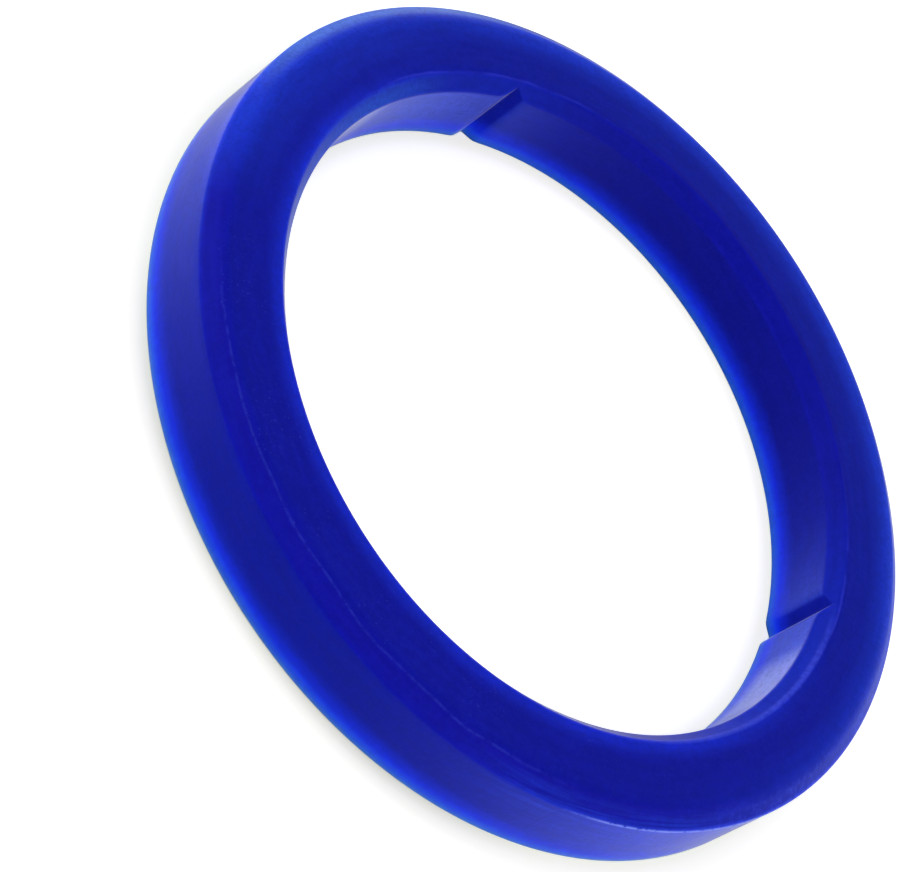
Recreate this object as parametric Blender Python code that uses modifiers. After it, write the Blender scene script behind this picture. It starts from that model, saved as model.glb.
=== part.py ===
"""Head gasket for the brewing group of an espresso machine.

One moulded ring of soft silicone rubber, drawn lying on its plain rear face.
+Z is the ring's axis and points out of the front face. The origin is the
centre of the rear face, and the first groove of the bore lies on +X.

The front face is flat between two bevels. The outer one leads the ring into
the group's seal channel, and the inner one leads the screen into the bore.
Three V grooves run along the bore's full height and out through its bevel.
"""
import math

import bmesh
import bpy

# Overall size, in metres
OUTER_DIAMETER = 0.0730
SECTION_WIDTH = 0.0080
HEIGHT = 0.0083

# Bevels of the front face: how far each reaches along the face and down the wall
OUTER_BEVEL_WIDTH = 0.00150
OUTER_BEVEL_DROP = 0.00110
BORE_BEVEL_WIDTH = 0.00105
BORE_BEVEL_DROP = 0.00125

# Radii of the moulded edges. The front face runs softly into the outer bevel.
OUTER_CREASE_RADIUS = 0.00220
BORE_CREASE_RADIUS = 0.00045
WALL_EDGE_RADIUS = 0.00025
REAR_EDGE_RADIUS = 0.00020

# Grooves of the bore
GROOVE_COUNT = 3
GROOVE_WIDTH = 0.00250
GROOVE_DEPTH = 0.00082
GROOVE_ROOT_RADIUS = 0.00020
GROOVE_SHOULDER = 0.00045

# How far a cutter reaches past what it cuts
CUTTER_MARGIN = 0.00100

# Facets of a full turn, of the soft outer crease, of each edge and of a groove's root
TURN_STEPS = 120
CREASE_STEPS = 6
EDGE_STEPS = 3
ROOT_STEPS = 2

# Silicone rubber
COLOUR = (0.012, 0.022, 0.420, 1.0)
ROUGHNESS = 0.42


def empty_scene():
    """Removes every object that the scene starts with."""
    for obj in list(bpy.data.objects):
        bpy.data.objects.remove(obj, do_unlink=True)


def collection(name):
    """Makes a collection in the scene."""
    made = bpy.data.collections.new(name)
    bpy.context.scene.collection.children.link(made)
    return made


def silicone():
    """Makes the rubber's material."""
    material = bpy.data.materials.new("silicone_rubber")
    material.use_nodes = True
    shader = material.node_tree.nodes["Principled BSDF"]
    shader.inputs["Base Color"].default_value = COLOUR
    shader.inputs["Roughness"].default_value = ROUGHNESS
    shader.inputs["Metallic"].default_value = 0.0
    return material


def fillet(before, corner, after, radius, steps):
    """Points of the arc that rounds a corner, from one side to the next.

    The arc's tangent length stays under half of the shorter side, so two
    neighbouring arcs never cross.
    """
    side_in = (before[0] - corner[0], before[1] - corner[1])
    side_out = (after[0] - corner[0], after[1] - corner[1])
    length_in, length_out = math.hypot(*side_in), math.hypot(*side_out)
    unit_in = (side_in[0] / length_in, side_in[1] / length_in)
    unit_out = (side_out[0] / length_out, side_out[1] / length_out)
    cosine = unit_in[0] * unit_out[0] + unit_in[1] * unit_out[1]
    half = math.acos(max(-1.0, min(1.0, cosine))) / 2
    tangent = min(radius / math.tan(half), 0.45 * min(length_in, length_out))
    radius = tangent * math.tan(half)
    middle = (unit_in[0] + unit_out[0], unit_in[1] + unit_out[1])
    scale = radius / math.sin(half) / math.hypot(*middle)
    centre = (corner[0] + middle[0] * scale, corner[1] + middle[1] * scale)
    start = (corner[0] + unit_in[0] * tangent, corner[1] + unit_in[1] * tangent)
    first = math.atan2(start[1] - centre[1], start[0] - centre[0])
    end = (corner[0] + unit_out[0] * tangent, corner[1] + unit_out[1] * tangent)
    turn = math.atan2(end[1] - centre[1], end[0] - centre[0]) - first
    turn = (turn + math.pi) % (2 * math.pi) - math.pi
    return [(centre[0] + radius * math.cos(first + turn * step / steps),
             centre[1] + radius * math.sin(first + turn * step / steps))
            for step in range(steps + 1)]


def bore_radius():
    """Radius of the bore: what the section's width leaves of the ring."""
    return OUTER_DIAMETER / 2 - SECTION_WIDTH


def section():
    """The ring's section as (radius, height), down its outer side."""
    outer, bore = OUTER_DIAMETER / 2, bore_radius()
    corners = [
        (bore + BORE_BEVEL_WIDTH, HEIGHT, BORE_CREASE_RADIUS, EDGE_STEPS),
        (outer - OUTER_BEVEL_WIDTH, HEIGHT, OUTER_CREASE_RADIUS, CREASE_STEPS),
        (outer, HEIGHT - OUTER_BEVEL_DROP, WALL_EDGE_RADIUS, EDGE_STEPS),
        (outer, 0.0, REAR_EDGE_RADIUS, EDGE_STEPS),
        (bore, 0.0, REAR_EDGE_RADIUS, EDGE_STEPS),
        (bore, HEIGHT - BORE_BEVEL_DROP, WALL_EDGE_RADIUS, EDGE_STEPS),
    ]
    points = []
    for index, (radius, height, rounding, steps) in enumerate(corners):
        before = corners[index - 1]
        after = corners[(index + 1) % len(corners)]
        points += fillet(before[:2], (radius, height), after[:2], rounding, steps)
    return points


def turned_ring(name, home):
    """Turns the section about the axis."""
    mesh = bpy.data.meshes.new(name)
    build = bmesh.new()
    points = [build.verts.new((radius, 0.0, height)) for radius, height in section()]
    for index, point in enumerate(points):
        build.edges.new((point, points[(index + 1) % len(points)]))
    build.to_mesh(mesh)
    build.free()
    ring = bpy.data.objects.new(name, mesh)
    home.objects.link(ring)
    turn = ring.modifiers.new("turn", 'SCREW')
    turn.axis = 'Z'
    turn.angle = 2 * math.pi
    turn.screw_offset = 0.0
    turn.steps = TURN_STEPS
    turn.render_steps = TURN_STEPS
    turn.use_merge_vertices = True
    turn.merge_threshold = 0.00001
    turn.use_smooth_shade = True
    return ring


def groove_outline():
    """The cutter's outline: x runs out from the ring's axis, y along the wall.

    Two straight flanks meet in a rounded root. Where they reach the bore's
    wall they ease off at a flatter slope, which is carried on into the bore
    until it clears the wall.
    """
    wall = bore_radius()
    half = GROOVE_WIDTH / 2
    flank = math.hypot(half, GROOVE_DEPTH)
    ease = min(GROOVE_SHOULDER, 0.4 * flank)
    knee = (wall + GROOVE_DEPTH * ease / flank, half - half * ease / flank)
    toe = (wall, half + ease)
    reach = CUTTER_MARGIN / (knee[0] - toe[0])
    tail = (wall - CUTTER_MARGIN, toe[1] + (toe[1] - knee[1]) * reach)
    upper = [tail, knee]
    lower = [(x, -y) for x, y in upper]
    root = fillet(knee, (wall + GROOVE_DEPTH, 0.0), lower[1], GROOVE_ROOT_RADIUS, ROOT_STEPS)
    return upper + root + lower[::-1]


def groove_cutter_mesh(name):
    """Extrudes the groove's outline past both faces of the ring."""
    curve = bpy.data.curves.new(name, 'CURVE')
    curve.dimensions = '2D'
    curve.fill_mode = 'BOTH'
    curve.extrude = HEIGHT / 2 + CUTTER_MARGIN
    outline = groove_outline()
    line = curve.splines.new('POLY')
    line.points.add(len(outline) - 1)
    for point, (x, y) in zip(line.points, outline):
        point.co = (x, y, 0.0, 1.0)
    line.use_cyclic_u = True
    drawn = bpy.data.objects.new(name, curve)
    bpy.context.scene.collection.objects.link(drawn)
    depsgraph = bpy.context.evaluated_depsgraph_get()
    mesh = bpy.data.meshes.new_from_object(drawn.evaluated_get(depsgraph))
    bpy.data.objects.remove(drawn, do_unlink=True)
    bpy.data.curves.remove(curve)
    build = bmesh.new()
    build.from_mesh(mesh)
    bmesh.ops.remove_doubles(build, verts=build.verts, dist=0.000001)
    bmesh.ops.recalc_face_normals(build, faces=build.faces)
    build.to_mesh(mesh)
    build.free()
    return mesh


def cut_grooves(ring, home):
    """Cuts the grooves, evenly spaced round the bore."""
    mesh = groove_cutter_mesh("groove_cutter")
    for index in range(GROOVE_COUNT):
        cutter = bpy.data.objects.new("groove_cutter_%d" % (index + 1), mesh)
        cutter.location = (0.0, 0.0, HEIGHT / 2)
        cutter.rotation_euler = (0.0, 0.0, 2 * math.pi * index / GROOVE_COUNT)
        cutter.hide_render = True
        cutter.display_type = 'WIRE'
        home.objects.link(cutter)
        cut = ring.modifiers.new("groove_%d" % (index + 1), 'BOOLEAN')
        cut.operation = 'DIFFERENCE'
        cut.solver = 'EXACT'
        cut.object = cutter


def main():
    """Builds the gasket."""
    empty_scene()
    parts = collection("group_head_gasket")
    cutters = collection("cutters")
    ring = turned_ring("gasket_ring", parts)
    ring.data.materials.append(silicone())
    cut_grooves(ring, cutters)
    bpy.context.view_layer.update()


main()
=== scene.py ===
"""Looks of a group head gasket: one ring of satin blue silicone on a white table.

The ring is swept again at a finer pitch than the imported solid, from the same
sizes, and takes a procedural silicone material. Shapes are in metres. The
materials' own places are in millimetres, and directions round the ring are
degrees from +X.
"""
import math

import bpy
from mathutils import Euler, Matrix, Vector


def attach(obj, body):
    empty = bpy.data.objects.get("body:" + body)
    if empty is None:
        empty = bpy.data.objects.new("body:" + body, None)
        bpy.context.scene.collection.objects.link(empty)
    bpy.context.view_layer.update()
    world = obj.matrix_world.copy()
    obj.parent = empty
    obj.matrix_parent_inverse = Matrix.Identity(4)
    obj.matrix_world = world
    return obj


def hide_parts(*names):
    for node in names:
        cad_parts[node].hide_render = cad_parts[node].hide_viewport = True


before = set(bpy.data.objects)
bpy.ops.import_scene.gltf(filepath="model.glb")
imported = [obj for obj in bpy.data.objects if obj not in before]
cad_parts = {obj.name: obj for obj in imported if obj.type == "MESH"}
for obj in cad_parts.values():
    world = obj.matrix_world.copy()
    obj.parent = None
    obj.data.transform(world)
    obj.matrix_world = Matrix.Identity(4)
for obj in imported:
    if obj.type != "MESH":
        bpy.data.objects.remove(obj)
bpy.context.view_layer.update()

MM = 0.001

# The section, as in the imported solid: a bevel is its width and its drop
OUTER = 36.5 * MM
BORE = 28.5 * MM
HEIGHT = 8.3 * MM
OUTER_BEVEL = (1.50 * MM, 1.10 * MM)
BORE_BEVEL = (1.05 * MM, 1.25 * MM)

# Its corners, down its outer side: radius, height, rounding, facets of the
# rounding, and the pitch of the side that follows
CORNERS = (
    (BORE + BORE_BEVEL[0], HEIGHT, 0.45 * MM, 6, 0.50 * MM),
    (OUTER - OUTER_BEVEL[0], HEIGHT, 2.20 * MM, 12, 0.25 * MM),
    (OUTER, HEIGHT - OUTER_BEVEL[1], 0.22 * MM, 5, 0.70 * MM),
    (OUTER, 0.0, 0.20 * MM, 4, 1.60 * MM),
    (BORE, 0.0, 0.18 * MM, 4, 0.60 * MM),
    (BORE, HEIGHT - BORE_BEVEL[1], 0.50 * MM, 6, 0.25 * MM),
)

# Grooves of the bore, and how far out they are cut
GROOVES = (-0.8, 120.0, 240.0)
GROOVE_HALF = 1.15 * MM
GROOVE_DEPTH = 0.82 * MM
GROOVE_ROOT = 0.08 * MM
GROOVE_EASE = 0.30 * MM
GROOVE_LIMIT = BORE + 1.2 * BORE_BEVEL[0]

# Degrees between the sweep's columns, and how near a groove they are fine
COLUMN_STEP = 1.0
FINE_STEP = 0.125
FINE_REACH = 6.0

# The largest share of a side that the rounding of a corner takes up, and the
# angle in degrees past which an edge is shaded sharp
ROUNDING_SHARE = 0.45
SHARP_ANGLE = 35.0

# The rubber's tones on the face, walls and bevels, as linear colours. The first is the face's own blue and
# the third the walls', with less red. The others are painted light and shade: less red on the far half of
# the face and a deeper blue on the near outer bevel, painted to take off their reflection's veil; a
# painted lighter blue on the near side of the inner bevel, against a plainer one on its far side; painted
# shade on the far side of the bore; and a painted sheen on the walls to either side, dim and pale.
BODY = (0.0036, 0.0070, 0.352, 1.0)
COOL = (0.0016, 0.0086, 0.350, 1.0)
UPRIGHT = (0.0010, 0.0070, 0.360, 1.0)
DEEP = (0.0065, 0.0070, 0.375, 1.0)
LIP = (0.0060, 0.0180, 0.425, 1.0)
CHAMFER = (0.0052, 0.0068, 0.335, 1.0)
BORE_SHADE = (0.0034, 0.0056, 0.300, 1.0)
DIM_SIDE_SHEEN = (0.0120, 0.0380, 0.500, 1.0)
PALE_SIDE_SHEEN = (0.0220, 0.0520, 0.640, 1.0)

# Tones of the rims and of the paler stretches, all painted light and shade: painted glow and reflections
# as paler blues, and a painted dark edge
GLOW = (0.0100, 0.0440, 0.640, 1.0)
BRIGHT = (0.0120, 0.0600, 0.800, 1.0)
SOFT = (0.0080, 0.0240, 0.620, 1.0)
SHADOW = (0.0030, 0.0200, 0.120, 1.0)
PALE = (0.0400, 0.0860, 0.680, 1.0)
BROW = (0.0550, 0.0850, 0.720, 1.0)
VEIL = (0.0180, 0.0850, 0.600, 1.0)
CREST = (0.0750, 0.1700, 0.640, 1.0)

# Tones of the marks, and of the light at the rear edges. The two crease lines and the white are painted
# highlights and reflections, and the grey is grain.
LINE = (0.0180, 0.0300, 0.540, 1.0)
GLINT = (0.0360, 0.0600, 0.600, 1.0)
PALE_MARK = (0.0300, 0.0450, 0.480, 1.0)
WHITE = (0.2600, 0.3200, 0.850, 1.0)
GREY = (0.0100, 0.0130, 0.360, 1.0)
ROYAL = (0.0080, 0.0380, 1.0, 1.0)
AZURE = (0.0250, 0.1400, 1.0, 1.0)
FOOT = (0.1000, 0.2400, 1.0, 1.0)

# Directions that the tones are laid out by, and those of single stretches
FAR = 62.0
NEAR = -117.0
UPPER_LEFT = 160.0
LOWER_RIGHT = -32.0
PALE_SHEEN_SIDE = -28.0
DARK_EDGE = 88.0
TOP_RIM = 143.0
LEFT_BORE = 165.0
LEFT_RIM = 172.0
RIGHT_RIM = -16.0
RIGHT_BORE = -21.0
BRIGHT_EDGE = -54.0
SHEEN_STREAKS = -66.0

# How fast the streaks change along the turn, and the streaks of painted sheen by the outer bevel as a
# share of that
STREAK_TURN = 5.0
COMB_SHARE = 0.20

# Radii of the creases' lines, the inner two painted highlights, and height of the outer bevel's bright
# edge, a painted highlight, in millimetres
FACE_CREASE = 29.72
LOWER_CREASE = 29.46
OUTER_CREASE = 35.08
BEVEL_EDGE = 7.15

# The table: its paint, the light it shows to the camera, and the painted shade at the ring's foot, laid
# both in the light it shows and in its paint
TABLE_HALF = 3.0
TABLE_PAINT = (0.80, 0.79, 0.76, 1.0)
TABLE_SEEN = (1.0, 1.0, 1.0, 1.0)
TABLE_GLOW = 0.66
SHADE_NEAR = (0.34, 0.33, 0.12, 1.0)
SHADE_AWAY = (0.74, 0.73, 0.46, 1.0)
SHADE_INSIDE = (0.80, 0.79, 0.60, 1.0)
SHADE_DIRECTION = -118.0
SHADE_PAINT_AROUND = (0.80, 0.785, 0.67, 1.0)
SHADE_PAINT_FOOT = (0.70, 0.69, 0.60, 1.0)
SHADE_PAINT_INSIDE = (0.76, 0.75, 0.62, 1.0)

# Lamps: name, place and power. They are square, and face the ring.
LAMPS = (
    ("left", (-0.35, 0.05, 0.19), 0.90),
    ("right", (0.236, -0.262, 0.19), 0.70),
)
LAMP_SIZE = 0.30
LAMP_AIM = (0.0, 0.0, 0.004)

# The surroundings' strength, above and at the horizon
SKY = 0.42
HORIZON = 1.0

# Camera
CAMERA_PLACE = (-0.09095, -0.17118, 0.17050)
CAMERA_TURN = (31.1504, -38.091, 18.5403)
LENS = 125.1
SENSOR = 36.0


# Shape

def arc(before, corner, after, radius, steps):
    """Points of the arc that rounds a corner of the section."""
    a = Vector(before) - Vector(corner)
    b = Vector(after) - Vector(corner)
    half = a.angle(b) / 2
    tangent = min(radius / math.tan(half), ROUNDING_SHARE * min(a.length, b.length))
    radius = tangent * math.tan(half)
    a.normalize()
    b.normalize()
    centre = Vector(corner) + (a + b).normalized() * (radius / math.sin(half))
    start = Vector(corner) + a * tangent - centre
    end = Vector(corner) + b * tangent - centre
    turn = math.atan2(start.x * end.y - start.y * end.x, start.dot(end))
    points = []
    for step in range(steps + 1):
        c, s = math.cos(turn * step / steps), math.sin(turn * step / steps)
        points.append(centre + Vector((start.x * c - start.y * s, start.x * s + start.y * c)))
    return points


def section():
    """The section as (radius, height), down its outer side, with a fine pitch."""
    arcs = []
    for index, (radius, height, rounding, steps, _) in enumerate(CORNERS):
        before, after = CORNERS[index - 1], CORNERS[(index + 1) % len(CORNERS)]
        arcs.append(arc(before[:2], (radius, height), after[:2], rounding, steps))
    points = []
    for index, rounded in enumerate(arcs):
        points += rounded
        here, there = rounded[-1], arcs[(index + 1) % len(arcs)][0]
        count = max(1, round((there - here).length / CORNERS[index][4]))
        points += [here.lerp(there, step / count) for step in range(1, count)]
    return points


def from_groove(angle):
    """Degrees from an angle to the nearest groove."""
    return min(abs((angle - groove + 180.0) % 360.0 - 180.0) for groove in GROOVES)


def groove_depth(angle):
    """How deep the bore's wall is cut at an angle."""
    across = math.radians(from_groove(angle)) * BORE
    flank = GROOVE_DEPTH * (1.0 - math.hypot(across, GROOVE_ROOT) / GROOVE_HALF)
    return (flank + math.hypot(flank, GROOVE_EASE)) / 2


def columns():
    """Angles of the sweep's columns: evenly spaced, and finer at the grooves."""
    angles = []
    angle = 0.0
    while angle < 360.0 - 1e-6:
        angles.append(angle)
        angle += FINE_STEP if from_groove(angle + 2 * FINE_STEP) < FINE_REACH else COLUMN_STEP
    return angles


def sweep_ring():
    """The ring: the section swept round the axis, with the grooves pressed in."""
    points, angles = section(), columns()
    rows, turns = len(points), len(angles)
    verts, faces = [], []
    for angle in angles:
        cut = BORE + groove_depth(angle)
        c, s = math.cos(math.radians(angle)), math.sin(math.radians(angle))
        for point in points:
            radius = max(point.x, cut) if point.x < GROOVE_LIMIT else point.x
            verts.append((radius * c, radius * s, point.y))
    for i in range(turns):
        j = (i + 1) % turns
        for k in range(rows):
            m = (k + 1) % rows
            faces.append((i * rows + k, i * rows + m, j * rows + m, j * rows + k))
    mesh = bpy.data.meshes.new("silicone_ring")
    mesh.from_pydata(verts, [], faces)
    mesh.validate()
    mesh.update()
    mesh.shade_smooth()
    mesh.set_sharp_from_angle(angle=math.radians(SHARP_ANGLE))
    ring = bpy.data.objects.new("silicone_ring", mesh)
    bpy.context.scene.collection.objects.link(ring)
    return ring


# Nodes

class Tree:
    """Short ways to add nodes to a node tree."""

    def __init__(self, tree):
        self.nodes, self.links = tree.nodes, tree.links

    def add(self, kind, **values):
        node = self.nodes.new(kind)
        for key, value in values.items():
            setattr(node, key, value)
        return node

    def link(self, out, into):
        self.links.new(out, into)

    def fill(self, sockets, values):
        """Links or sets each socket's value."""
        for socket, value in zip(sockets, values):
            if isinstance(value, (int, float, tuple)):
                socket.default_value = value
            else:
                self.link(value, socket)

    def math(self, operation, *values, clamp=False):
        node = self.add("ShaderNodeMath", operation=operation, use_clamp=clamp)
        self.fill(node.inputs, values)
        return node.outputs[0]

    def product(self, *factors):
        out = factors[0]
        for factor in factors[1:]:
            out = self.math("MULTIPLY", out, factor)
        return out

    def highest(self, first, second):
        return self.math("MAXIMUM", first, second)

    def fade(self, value, low, high):
        """0 below low and 1 above high, smooth between; falls when low is above high."""
        node = self.add("ShaderNodeMapRange", interpolation_type="SMOOTHSTEP")
        self.fill(node.inputs, (value, low, high))
        return node.outputs[0]

    def split(self, vector):
        node = self.add("ShaderNodeSeparateXYZ")
        self.link(vector, node.inputs[0])
        return node.outputs

    def vector(self, *values):
        node = self.add("ShaderNodeCombineXYZ")
        self.fill(node.inputs, values)
        return node.outputs[0]

    def scaled(self, vector, factor):
        node = self.add("ShaderNodeVectorMath", operation="SCALE")
        self.link(vector, node.inputs[0])
        node.inputs["Scale"].default_value = factor
        return node.outputs[0]

    def noise(self, vector, scale, detail=3.0, roughness=0.5):
        node = self.add("ShaderNodeTexNoise")
        self.link(vector, node.inputs["Vector"])
        node.inputs["Scale"].default_value = scale
        node.inputs["Detail"].default_value = detail
        node.inputs["Roughness"].default_value = roughness
        return node.outputs[0]

    def mix(self, factor, first, second):
        """The first colour where the factor is 0, and the second where it is 1."""
        node = self.add("ShaderNodeMix", data_type="RGBA")
        self.link(factor, node.inputs[0])
        self.fill(node.inputs[6:8], (first, second))
        return node.outputs[2]


class Spot:
    """The shaded point: its place about the ring's axis, in millimetres."""

    def __init__(self, tree):
        self.tree = tree
        self.place = tree.scaled(tree.add("ShaderNodeTexCoord").outputs["Object"], 1.0 / MM)
        self.x, self.y, self.height = tree.split(self.place)
        squares = tree.math("MULTIPLY_ADD", self.x, self.x, tree.math("MULTIPLY", self.y, self.y))
        self.radius = tree.math("SQRT", squares)

    def toward(self, angle):
        """Cosine of the angle between the point's direction from the axis and the given one."""
        c, s = math.cos(math.radians(angle)), math.sin(math.radians(angle))
        along = self.tree.math("MULTIPLY_ADD", self.y, s, self.tree.math("MULTIPLY", self.x, c))
        return self.tree.math("DIVIDE", along, self.radius)

    def facing(self, angle, low, high):
        """1 where the point lies toward an angle, as a fade of its cosine."""
        return self.tree.fade(self.toward(angle), low, high)

    def line(self, value, centre, reach, core):
        """1 where a value is within the core of its centre, and 0 beyond the reach."""
        gap = self.tree.math("ABSOLUTE", self.tree.math("SUBTRACT", value, centre))
        return self.tree.fade(gap, reach, core)

    def zone(self, *factors, **limits):
        """The product of the factors and of a fade for each limit of a named value.

        A limit is a pair, as fade takes it, or two pairs in a row.
        """
        fades = []
        for name, limit in limits.items():
            for start in range(0, len(limit), 2):
                fades.append(self.tree.fade(getattr(self, name), *limit[start:start + 2]))
        return self.tree.product(*fades, *factors)


class Silicone(Spot):
    """The shaded point of the ring, with the noises and surfaces that its tones follow."""

    def __init__(self, tree):
        super().__init__(tree)
        self.far = self.toward(FAR)
        self.near = self.toward(NEAR)
        self.upper = self.toward(UPPER_LEFT)
        self.across = tree.math("ABSOLUTE", self.far)
        self.add_noises()
        self.add_surfaces()

    def add_noises(self):
        """Noises drawn out along the turn, and mottles of several sizes."""
        t = self.tree
        turn = t.math("MULTIPLY", t.math("ARCTAN2", self.y, self.x), STREAK_TURN)
        slow_turn = t.math("MULTIPLY", turn, COMB_SHARE)
        self.streaks = t.noise(t.vector(turn, self.radius, self.height), 1.6, 4.0, 0.6)
        self.combed = t.noise(t.vector(slow_turn, self.radius, self.height), 4.5, 3.0, 0.6)
        self.mottle = t.noise(self.place, 1.4, 4.0, 0.7)
        self.fine = t.noise(self.place, 3.2, 3.0, 0.8)
        self.wander = t.noise(self.place, 0.20, 3.0)
        self.specks = t.noise(self.place, 4.0, 1.0)
        self.drift = t.math("MULTIPLY_ADD", self.wander, 0.60, -0.30)

    def add_surfaces(self):
        """The bore, both walls, and how far the point is above the bore's bevel."""
        t = self.tree
        slope = BORE_BEVEL[1] / BORE_BEVEL[0]
        foot = (HEIGHT - BORE_BEVEL[1]) / MM
        bevel = t.math("MULTIPLY_ADD", self.radius, slope, foot - slope * BORE / MM)
        self.above_bevel = t.math("SUBTRACT", self.height, bevel)
        self.bore = self.zone(above_bevel=(-0.05, -0.40), radius=(30.5, 30.0))
        self.wall = t.highest(self.bore, self.zone(radius=(36.0, 36.4), height=(7.5, 7.1)))
        self.sides = self.zone(self.wall, across=(0.92, 0.40), radius=(32.0, 34.0))
        self.inner_bevel = self.zone(above_bevel=(-0.35, -0.05), radius=(30.0, 29.4), far=(-0.6, -0.2))
        self.lower_right = self.facing(LOWER_RIGHT, 0.84, 0.97)


# Material of the ring

def surface_tones(t, spot):
    """The rubber's blue on the face, walls and bevels, as one colour, with painted shade on the far bore,
    a painted sheen on the side walls, and tones by side that stand in for how the light falls.
    """
    # Painted: the far half of the face takes less red, to take off its reflection's veil.
    colour = t.mix(t.fade(spot.far, -0.2, 0.6), BODY, COOL)
    colour = t.mix(spot.wall, colour, UPRIGHT)
    # Painted: the near outer bevel takes a deeper blue, to take off its reflection's veil.
    outer_bevel = spot.zone(height=(7.0, 7.4), radius=(34.5, 35.2), far=(0.2, -0.4))
    colour = t.mix(outer_bevel, colour, DEEP)
    # Painted light: the inner bevel is a lighter blue on its near side.
    bevel_tone = t.mix(t.fade(spot.far, 0.45, 0.85), LIP, CHAMFER)
    colour = t.mix(spot.inner_bevel, colour, bevel_tone)
    # Painted shade: the far side of the bore is laid darker.
    colour = t.mix(spot.zone(spot.bore, far=(0.55, 0.97)), colour, BORE_SHADE)
    # Painted sheen on the walls to either side, paler toward one side.
    return t.mix(spot.sides, colour, t.mix(spot.facing(PALE_SHEEN_SIDE, -0.3, 0.3), DIM_SIDE_SHEEN, PALE_SIDE_SHEEN))


# The next five give layers: pairs of a mask and the tone that it lays over the ring

def rim_tones(t, spot):
    """Painted light on the rims and on a patch of the face's upper left, as a brighter blue, and a painted
    dark edge on the far rim.
    """
    front = t.fade(spot.height, 5.5, 7.3)
    behind = t.highest(t.fade(spot.far, -0.6, 0.6), t.fade(spot.upper, 0.84, 0.98))
    outer_rim = spot.zone(front, behind, radius=(32.0, 36.4))
    patch = spot.zone(front, 0.4, radius=(30.0, 34.0), upper=(0.84, 1.0))
    inner_rim = spot.zone(height=(7.9, 8.2), radius=(31.4, 29.4), far=(0.4, -0.4))
    lower_bevel = t.product(spot.inner_bevel, spot.lower_right, 0.25)
    dark_edge = spot.zone(spot.facing(DARK_EDGE, 0.60, 0.90), 0.75, radius=(35.6, 36.2), height=(6.7, 7.0))
    # All of these are painted light or shade.
    return (
        (t.highest(outer_rim, patch), t.mix(t.fade(spot.far, 0.2, 0.9), GLOW, BRIGHT)),
        (inner_rim, SOFT),
        (lower_bevel, GLOW),
        (dark_edge, SHADOW),
    )


def side_tones(t, spot):
    """The paler stretches of the walls and rims on both sides, as painted reflection and sheen with a
    painted glare on the bore, and a mottled pale patch on the right rim. Grooves are left out of them.
    """
    recess = spot.zone(radius=(28.60, 28.80, 32.0, 31.0))
    flat_bore = t.math("SUBTRACT", 1.0, recess)
    upper_sides = spot.zone(spot.wall, 0.6, across=(0.72, 0.35), radius=(32.0, 34.0), height=(5.0, 7.0))
    left_rim = spot.zone(spot.facing(LEFT_RIM, 0.78, 0.96), 0.9,
                         radius=(29.9, 28.9), height=(6.9, 7.2), mottle=(0.10, 0.50))
    left_bore = spot.zone(spot.bore, spot.facing(LEFT_BORE, 0.955, 0.985), 0.9,
                          height=(0.0, 4.0, 7.6, 7.2))
    right_bore = spot.zone(spot.bore, spot.facing(RIGHT_BORE, 0.980, 0.998), 0.85,
                           height=(7.6, 7.2), mottle=(0.10, 0.45))
    right_rim = spot.zone(spot.facing(RIGHT_RIM, 0.74, 0.95), 0.25,
                          mottle=(0.48, 0.66), radius=(34.6, 35.8), height=(7.0, 7.3))
    top_rim = spot.zone(spot.facing(TOP_RIM, 0.86, 0.98), radius=(34.9, 36.2), height=(6.8, 7.2))
    # These are painted reflection and sheen, besides the right rim's mottled pale patch.
    return (
        (spot.zone(spot.bore, flat_bore, across=(0.76, 0.22)), PALE),
        (upper_sides, BROW),
        (left_rim, VEIL),
        (t.highest(left_bore, right_bore), WHITE),
        (right_rim, PALE),
        (top_rim, CREST),
    )


def crease_highlights_and_grain(t, spot):
    """Painted highlights as pale broken lines on the inner creases, streaks of painted sheen by the outer
    bevel, and fine grain.
    """
    face_crease = spot.line(spot.radius, t.math("ADD", spot.drift, FACE_CREASE), 0.20, 0.03)
    face_crease = spot.zone(face_crease, 0.9, height=(7.9, 8.2), far=(-0.3, 0.2, 0.95, 0.45),
                            wander=(0.32, 0.56))
    lower_crease = spot.line(spot.radius, LOWER_CREASE, 0.38, 0.04)
    lower_crease = spot.zone(lower_crease, spot.lower_right, height=(7.8, 8.1), mottle=(0.15, 0.55))
    sheen_streaks = spot.zone(spot.facing(SHEEN_STREAKS, 0.90, 0.99), 0.65,
                       combed=(0.36, 0.70), radius=(34.9, 36.2), height=(3.5, 6.5))
    # The crease lines are painted highlights and the streaks a painted sheen; the grey is grain.
    return (
        (face_crease, LINE),
        (lower_crease, GLINT),
        (sheen_streaks, GLOW),
        (spot.zone(0.45, fine=(0.42, 0.72)), GREY),
    )


def rear_glow(t, spot):
    """Light that comes through the rubber near the rear edges."""
    off_sides = t.math("MULTIPLY_ADD", spot.sides, -0.4, 1.0)
    return (
        (spot.zone(off_sides, height=(3.2, 0.2)), ROYAL),
        (spot.zone(height=(1.5, 0.0)), AZURE),
        (spot.zone(0.8, height=(0.6, 0.0), radius=(32.0, 34.0)), FOOT),
    )


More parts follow.
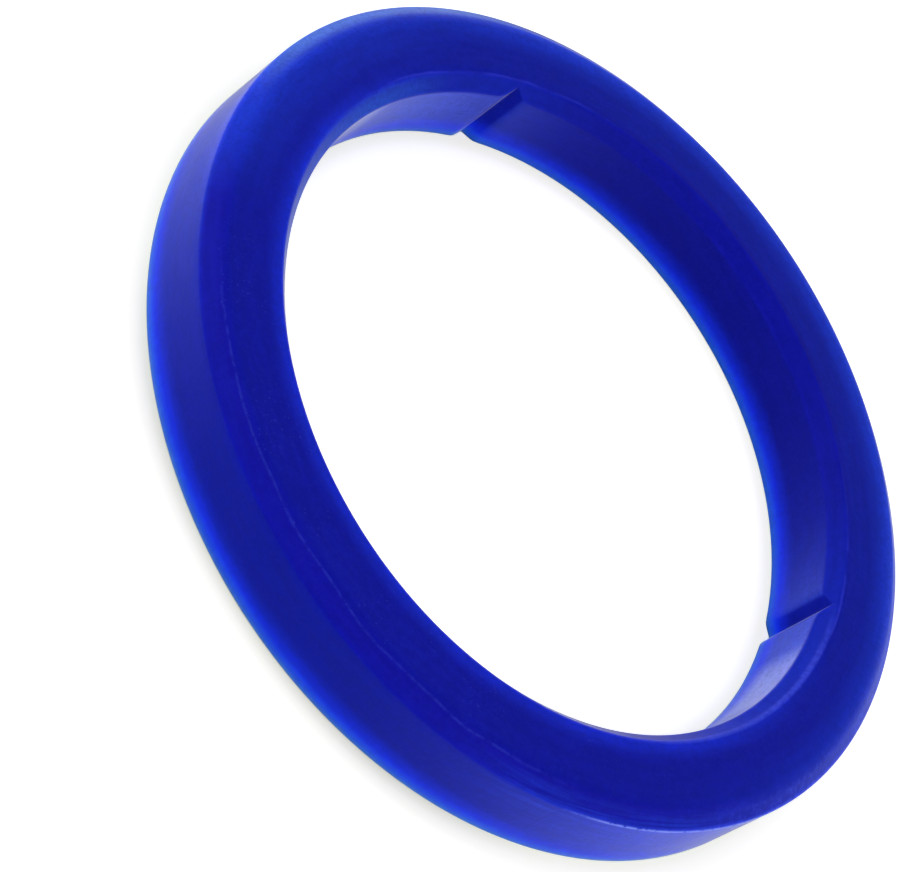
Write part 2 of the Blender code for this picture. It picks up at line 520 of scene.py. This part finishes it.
def bright_marks(t, spot):
    """The outer bevel's broken crease line, dust on the face, and a painted highlight on the bevel's lower
    edge.
    """
    # A broken pale line on the outer crease, on the near side only.
    outer_crease = spot.line(spot.radius, t.math("ADD", spot.drift, OUTER_CREASE), 0.16, 0.02)
    outer_crease = spot.zone(outer_crease, 0.42, near=(0.68, 0.88), height=(7.5, 7.9), mottle=(0.32, 0.62))
    dust = spot.zone(0.5, specks=(0.66, 0.74), height=(7.9, 8.1), near=(0.35, 0.80), wander=(0.50, 0.60))
    # Painted highlight: a bright line along the outer bevel's lower edge, on one side.
    bevel_edge = spot.line(spot.height, BEVEL_EDGE, 0.15, 0.03)
    bevel_edge = spot.zone(bevel_edge, spot.facing(BRIGHT_EDGE, 0.93, 0.985), 0.7,
                           radius=(36.2, 36.4), mottle=(0.36, 0.50))
    return (
        (t.highest(outer_crease, dust), PALE_MARK),
        (bevel_edge, WHITE),
    )


def paint(t, spot):
    """The ring's colour: each layer lies over the ones before it."""
    colour = surface_tones(t, spot)
    for layers in (rim_tones, side_tones, crease_highlights_and_grain, rear_glow):
        for mask, tone in layers(t, spot):
            colour = t.mix(mask, colour, tone)
    streaks = t.math("MULTIPLY", t.math("ADD", spot.streaks, spot.mottle), 0.5)
    colour = t.mix(t.fade(streaks, 0.62, 0.38), t.scaled(colour, 1.07), t.scaled(colour, 0.90))
    for mask, tone in bright_marks(t, spot):
        colour = t.mix(mask, colour, tone)
    return colour


def grain(t, spot, shader):
    """Fine bumps, and a gloss that varies and is duller on the far bevel."""
    bump = t.add("ShaderNodeBump")
    bump.inputs["Strength"].default_value = 0.25
    bump.inputs["Distance"].default_value = 0.06 * MM
    t.link(t.noise(spot.place, 2.2, 4.0, 0.6), bump.inputs["Height"])
    t.link(bump.outputs[0], shader.inputs["Normal"])
    rough = t.add("ShaderNodeMapRange")
    t.link(t.noise(spot.place, 0.5, 3.0), rough.inputs["Value"])
    rough.inputs["To Min"].default_value = 0.36
    rough.inputs["To Max"].default_value = 0.48
    dull = spot.zone(height=(6.9, 7.3), radius=(34.0, 35.4), far=(0.3, 0.8))
    t.link(t.math("MULTIPLY_ADD", dull, 0.45, rough.outputs[0]), shader.inputs["Roughness"])


def silicone():
    """Satin blue silicone, slightly translucent, with painted light and shade on its colour, pale marks
    and grain.
    """
    material = bpy.data.materials.new("blue_silicone")
    material.use_nodes = True
    t = Tree(material.node_tree)
    spot = Silicone(t)
    shader = material.node_tree.nodes["Principled BSDF"]
    t.link(paint(t, spot), shader.inputs["Base Color"])
    grain(t, spot, shader)
    shader.inputs["IOR"].default_value = 1.18
    shader.inputs["Specular Tint"].default_value = (0.15, 0.25, 1.0, 1.0)
    shader.inputs["Sheen Weight"].default_value = 1.0
    shader.inputs["Sheen Roughness"].default_value = 0.18
    shader.inputs["Sheen Tint"].default_value = (0.90, 0.93, 1.0, 1.0)
    shader.inputs["Subsurface Weight"].default_value = 1.0
    shader.inputs["Subsurface Radius"].default_value = (0.2, 0.5, 1.0)
    shader.inputs["Subsurface Scale"].default_value = 2.0 * MM
    return material


# Studio

def seen_rays(t):
    """1 for rays from the camera and for reflected and transmitted ones."""
    path = t.add("ShaderNodeLightPath").outputs
    some = t.math("ADD", path["Is Camera Ray"], path["Is Glossy Ray"])
    return t.math("ADD", some, path["Is Transmission Ray"], clamp=True)


def white_table():
    """White paint that keeps the ring's shadow, with a soft painted shade round the ring's foot, laid both
    in the light it shows and in its paint.
    """
    material = bpy.data.materials.new("white_table")
    material.use_nodes = True
    t = Tree(material.node_tree)
    spot = Spot(t)
    wide = t.fade(spot.radius, 40.6, 36.5)
    close = t.math("MULTIPLY", t.fade(spot.radius, 37.6, 36.5), 0.24)
    outside = spot.zone(t.math("MULTIPLY_ADD", wide, 0.66, close), radius=(30.0, 34.0))
    around = spot.zone(radius=(40.5, 36.5, 24.0, 28.5))
    inside = spot.zone(radius=(26.5, 28.5, 34.0, 30.0))
    shade = t.mix(spot.facing(SHADE_DIRECTION, 0.60, 0.95), SHADE_AWAY, SHADE_NEAR)
    seen = t.mix(inside, t.mix(outside, TABLE_SEEN, shade), SHADE_INSIDE)
    # Painted shade: the paint darkens and warms near the ring's foot, inside and out.
    shaded_paint = t.mix(outside, t.mix(around, TABLE_PAINT, SHADE_PAINT_AROUND), SHADE_PAINT_FOOT)
    shader = material.node_tree.nodes["Principled BSDF"]
    shader.inputs["Roughness"].default_value = 0.9
    shader.inputs["Specular IOR Level"].default_value = 0.0
    t.link(t.mix(inside, shaded_paint, SHADE_PAINT_INSIDE), shader.inputs["Base Color"])
    t.link(seen, shader.inputs["Emission Color"])
    t.link(t.math("MULTIPLY", seen_rays(t), TABLE_GLOW), shader.inputs["Emission Strength"])
    return material


def floor():
    """The table that the ring lies on."""
    mesh = bpy.data.meshes.new("table")
    half = TABLE_HALF
    corners = [(-half, -half, 0), (half, -half, 0), (half, half, 0), (-half, half, 0)]
    mesh.from_pydata(corners, [], [(0, 1, 2, 3)])
    mesh.materials.append(white_table())
    table = bpy.data.objects.new("table", mesh)
    bpy.context.scene.collection.objects.link(table)


def area_light(name, place, watts):
    """A soft square lamp that faces the ring."""
    data = bpy.data.lights.new(name, "AREA")
    data.shape = "SQUARE"
    data.size = LAMP_SIZE
    data.energy = watts
    lamp = bpy.data.objects.new(name, data)
    lamp.location = place
    lamp.rotation_euler = (Vector(LAMP_AIM) - Vector(place)).to_track_quat("-Z", "Y").to_euler()
    bpy.context.scene.collection.objects.link(lamp)


def studio():
    """White surroundings at the horizon, dim above, and soft lamps."""
    world = bpy.data.worlds.new("studio")
    bpy.context.scene.world = world
    world.use_nodes = True
    t = Tree(world.node_tree)
    up = t.split(t.add("ShaderNodeTexCoord").outputs["Generated"])[2]
    strength = t.math("MULTIPLY_ADD", t.fade(up, 0.40, 0.12), HORIZON - SKY, SKY)
    back = world.node_tree.nodes["Background"]
    back.inputs["Color"].default_value = (1.0, 1.0, 1.0, 1.0)
    t.link(strength, back.inputs["Strength"])
    for lamp in LAMPS:
        area_light(*lamp)


def camera():
    """The photograph's view: from above, and turned about its own line of sight."""
    data = bpy.data.cameras.new("view")
    data.lens = LENS
    data.sensor_width = SENSOR
    data.clip_start = 0.01
    data.clip_end = 20.0
    view = bpy.data.objects.new("view", data)
    view.location = CAMERA_PLACE
    view.rotation_euler = Euler([math.radians(angle) for angle in CAMERA_TURN], "XYZ")
    bpy.context.scene.collection.objects.link(view)
    bpy.context.scene.camera = view


bpy.context.scene.view_settings.view_transform = "Standard"
ring = sweep_ring()
ring.data.materials.append(silicone())
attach(ring, "root")
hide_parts("gasket_ring")
floor()
studio()
camera()
